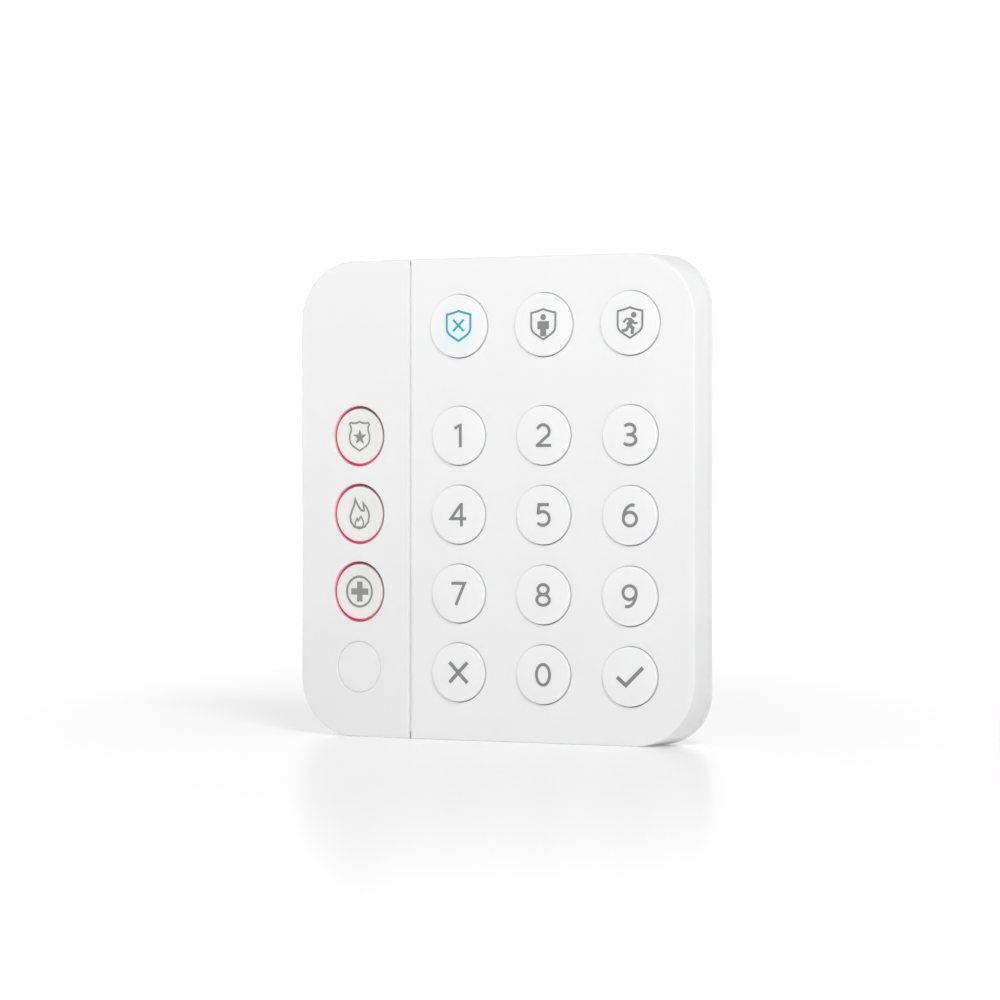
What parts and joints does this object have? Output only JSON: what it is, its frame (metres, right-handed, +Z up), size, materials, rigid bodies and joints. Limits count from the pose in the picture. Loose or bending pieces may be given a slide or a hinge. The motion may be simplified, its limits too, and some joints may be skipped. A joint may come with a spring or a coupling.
{
  "type": "alarm keypad panel",
  "caption": "Wall or table alarm keypad: domed number and mode keys, a sloping strip of lit emergency buttons, a sensor window and a slide-on wall bracket.",
  "frame": {"origin": "middle of the footprint, on the surface the panel stands on", "axes": "+Z up the panel's height, -Y out of the key face, +X to the right of someone facing the keys"},
  "size_m": [0.1234, 0.0178, 0.1345],
  "materials": {
    "white_shell": "fine satin moulding",
    "key_cap": "smooth satin",
    "alert_cap": "smooth satin, translucent edge",
    "red_lens": "translucent red light guide",
    "window": "smooth satin",
    "silicone": "matte silicone",
    "film": "clear film",
    "board": "green solder mask",
    "chip": "black epoxy",
    "cell": "laminated pouch foil",
    "shield_steel": "tinned steel",
    "screw_steel": "zinc plated",
    "led": "clear lens over phosphor",
    "speaker": "black cone and frame",
    "bracket": "fine moulded texture",
    "legend_ink": "grey printed legend",
    "lit_legend": "backlit legend"
  },
  "bodies": {
    "panel": {"key_cover": "white_shell", "side_cover": "white_shell", "back_cover": "white_shell", "sensor_window": "window", "motion_sensor": "chip", "key_membrane": "silicone", "backlight_film": "film", "side_membrane": "silicone", "main_board": "board", "battery_cell": "cell", "battery_connector": "key_cap", "processor_chip": "chip", "radio_module": "shield_steel", "antenna": "shield_steel", "speaker": "speaker", "speaker_gasket": "silicone", "charging_socket": "shield_steel", "light_collar_police": "red_lens", "light_collar_fire": "red_lens", "light_collar_medical": "red_lens", "led_disarm": "led", "led_home": "led", "led_away": "led", "led_police": "led", "led_fire": "led", "led_medical": "led", "case_screw_1": "screw_steel", "case_screw_2": "screw_steel", "case_screw_3": "screw_steel", "case_screw_4": "screw_steel", "case_screw_5": "screw_steel", "case_screw_6": "screw_steel"},
    "key_1": {"key_1": "key_cap"},
    "key_2": {"key_2": "key_cap"},
    "key_3": {"key_3": "key_cap"},
    "key_4": {"key_4": "key_cap"},
    "key_5": {"key_5": "key_cap"},
    "key_6": {"key_6": "key_cap"},
    "key_7": {"key_7": "key_cap"},
    "key_8": {"key_8": "key_cap"},
    "key_9": {"key_9": "key_cap"},
    "key_cancel": {"key_cancel": "key_cap"},
    "key_0": {"key_0": "key_cap"},
    "key_enter": {"key_enter": "key_cap"},
    "key_disarm": {"key_disarm": "key_cap"},
    "key_home": {"key_home": "key_cap"},
    "key_away": {"key_away": "key_cap"},
    "button_police": {"button_police": "alert_cap"},
    "button_fire": {"button_fire": "alert_cap"},
    "button_medical": {"button_medical": "alert_cap"},
    "wall_bracket": {"wall_bracket": "bracket"}
  },
  "joints": [
    {"name": "press_1", "type": "slide", "parent": "panel", "child": "key_1", "axis": [0, 1, 0], "range_m": [0, 0.0012], "stiffness_N_per_m": 1500},
    {"name": "press_2", "type": "slide", "parent": "panel", "child": "key_2", "axis": [0, 1, 0], "range_m": [0, 0.0012], "stiffness_N_per_m": 1500},
    {"name": "press_3", "type": "slide", "parent": "panel", "child": "key_3", "axis": [0, 1, 0], "range_m": [0, 0.0012], "stiffness_N_per_m": 1500},
    {"name": "press_4", "type": "slide", "parent": "panel", "child": "key_4", "axis": [0, 1, 0], "range_m": [0, 0.0012], "stiffness_N_per_m": 1500},
    {"name": "press_5", "type": "slide", "parent": "panel", "child": "key_5", "axis": [0, 1, 0], "range_m": [0, 0.0012], "stiffness_N_per_m": 1500},
    {"name": "press_6", "type": "slide", "parent": "panel", "child": "key_6", "axis": [0, 1, 0], "range_m": [0, 0.0012], "stiffness_N_per_m": 1500},
    {"name": "press_7", "type": "slide", "parent": "panel", "child": "key_7", "axis": [0, 1, 0], "range_m": [0, 0.0012], "stiffness_N_per_m": 1500},
    {"name": "press_8", "type": "slide", "parent": "panel", "child": "key_8", "axis": [0, 1, 0], "range_m": [0, 0.0012], "stiffness_N_per_m": 1500},
    {"name": "press_9", "type": "slide", "parent": "panel", "child": "key_9", "axis": [0, 1, 0], "range_m": [0, 0.0012], "stiffness_N_per_m": 1500},
    {"name": "press_cancel", "type": "slide", "parent": "panel", "child": "key_cancel", "axis": [0, 1, 0], "range_m": [0, 0.0012], "stiffness_N_per_m": 1500},
    {"name": "press_0", "type": "slide", "parent": "panel", "child": "key_0", "axis": [0, 1, 0], "range_m": [0, 0.0012], "stiffness_N_per_m": 1500},
    {"name": "press_enter", "type": "slide", "parent": "panel", "child": "key_enter", "axis": [0, 1, 0], "range_m": [0, 0.0012], "stiffness_N_per_m": 1500},
    {"name": "press_disarm", "type": "slide", "parent": "panel", "child": "key_disarm", "axis": [0, 1, 0], "range_m": [0, 0.0012], "stiffness_N_per_m": 1500},
    {"name": "press_home", "type": "slide", "parent": "panel", "child": "key_home", "axis": [0, 1, 0], "range_m": [0, 0.0012], "stiffness_N_per_m": 1500},
    {"name": "press_away", "type": "slide", "parent": "panel", "child": "key_away", "axis": [0, 1, 0], "range_m": [0, 0.0012], "stiffness_N_per_m": 1500},
    {"name": "press_police", "type": "slide", "parent": "panel", "child": "button_police", "axis": [0.095, 0.9955, 0], "range_m": [0, 0.0008], "stiffness_N_per_m": 2500},
    {"name": "press_fire", "type": "slide", "parent": "panel", "child": "button_fire", "axis": [0.095, 0.9955, 0], "range_m": [0, 0.0008], "stiffness_N_per_m": 2500},
    {"name": "press_medical", "type": "slide", "parent": "panel", "child": "button_medical", "axis": [0.095, 0.9955, 0], "range_m": [0, 0.0008], "stiffness_N_per_m": 2500},
    {"name": "bracket_slide", "type": "slide", "parent": "panel", "child": "wall_bracket", "axis": [0, 0, -1], "range_m": [0, 0.009]}
  ]
}
